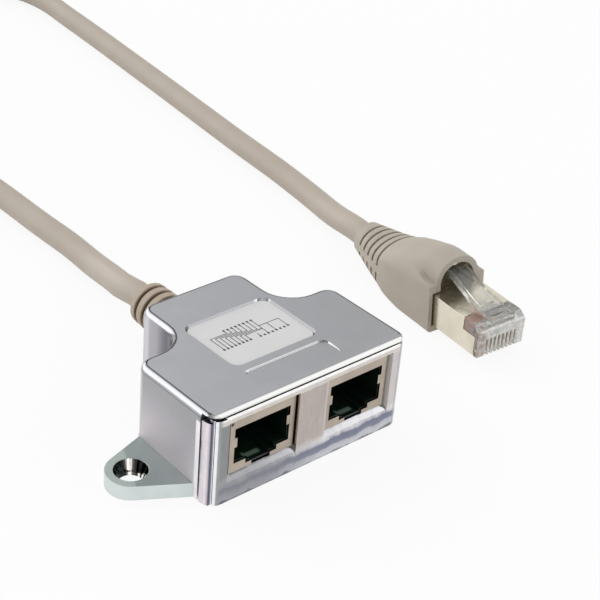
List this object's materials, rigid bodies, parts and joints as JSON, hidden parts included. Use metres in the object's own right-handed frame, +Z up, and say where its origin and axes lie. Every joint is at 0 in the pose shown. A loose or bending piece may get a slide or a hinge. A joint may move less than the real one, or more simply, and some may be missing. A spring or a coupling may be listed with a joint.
{
  "type": "rj45 splitter adapter",
  "caption": "Shielded metal network adapter with side-by-side jacks, a fixing lug on one side and a short lead that ends in a booted plug.",
  "frame": {"origin": "on the housing's flat underside, midway between its side walls and 17.3 mm behind its front face", "axes": "+X along the row of jacks, away from the lug; -Y the way the jacks face; +Z up from the underside"},
  "size_m": [0.1016, 0.2165, 0.0186],
  "materials": {
    "plated_metal": "bright plated",
    "grey_metal": "satin plated",
    "jack_metal": "satin nickel",
    "plug_metal": "satin nickel",
    "black_plastic": "matte",
    "gold_contact": "polished",
    "screw_steel": "satin",
    "label_film": "satin",
    "board_green": "satin",
    "beige_pvc": "matte",
    "clear_plastic": "clear gloss",
    "wire_ribbon": "matte",
    "insulation_orange": "matte",
    "insulation_green": "matte",
    "insulation_blue": "matte",
    "insulation_brown": "matte"
  },
  "bodies": {
    "root": {"base_plate": "grey_metal", "cable_clamp": "screw_steel", "circuit_board": "board_green", "conductor_1": "insulation_orange", "conductor_2": "insulation_green", "conductor_3": "insulation_blue", "conductor_4": "insulation_brown", "conductor_5": "insulation_orange", "conductor_6": "insulation_green", "conductor_7": "insulation_blue", "conductor_8": "insulation_brown", "cover": "plated_metal", "front_panel": "plated_metal", "jack_contact_left_1": "gold_contact", "jack_contact_left_2": "gold_contact", "jack_contact_left_3": "gold_contact", "jack_contact_left_4": "gold_contact", "jack_contact_left_5": "gold_contact", "jack_contact_left_6": "gold_contact", "jack_contact_left_7": "gold_contact", "jack_contact_left_8": "gold_contact", "jack_contact_right_1": "gold_contact", "jack_contact_right_2": "gold_contact", "jack_contact_right_3": "gold_contact", "jack_contact_right_4": "gold_contact", "jack_contact_right_5": "gold_contact", "jack_contact_right_6": "gold_contact", "jack_contact_right_7": "gold_contact", "jack_contact_right_8": "gold_contact", "jack_insert_left": "black_plastic", "jack_insert_right": "black_plastic", "jack_shield_left": "jack_metal", "jack_shield_right": "jack_metal", "label": "label_film", "lead": "beige_pvc", "plug_body": "clear_plastic", "plug_boot": "beige_pvc", "plug_contact_1": "gold_contact", "plug_contact_2": "gold_contact", "plug_contact_3": "gold_contact", "plug_contact_4": "gold_contact", "plug_contact_5": "gold_contact", "plug_contact_6": "gold_contact", "plug_contact_7": "gold_contact", "plug_contact_8": "gold_contact", "plug_shield": "plug_metal", "screw_1": "screw_steel", "screw_2": "screw_steel", "screw_3": "screw_steel", "strain_relief": "beige_pvc", "wire_ribbon": "wire_ribbon"}
  },
  "joints": []
}
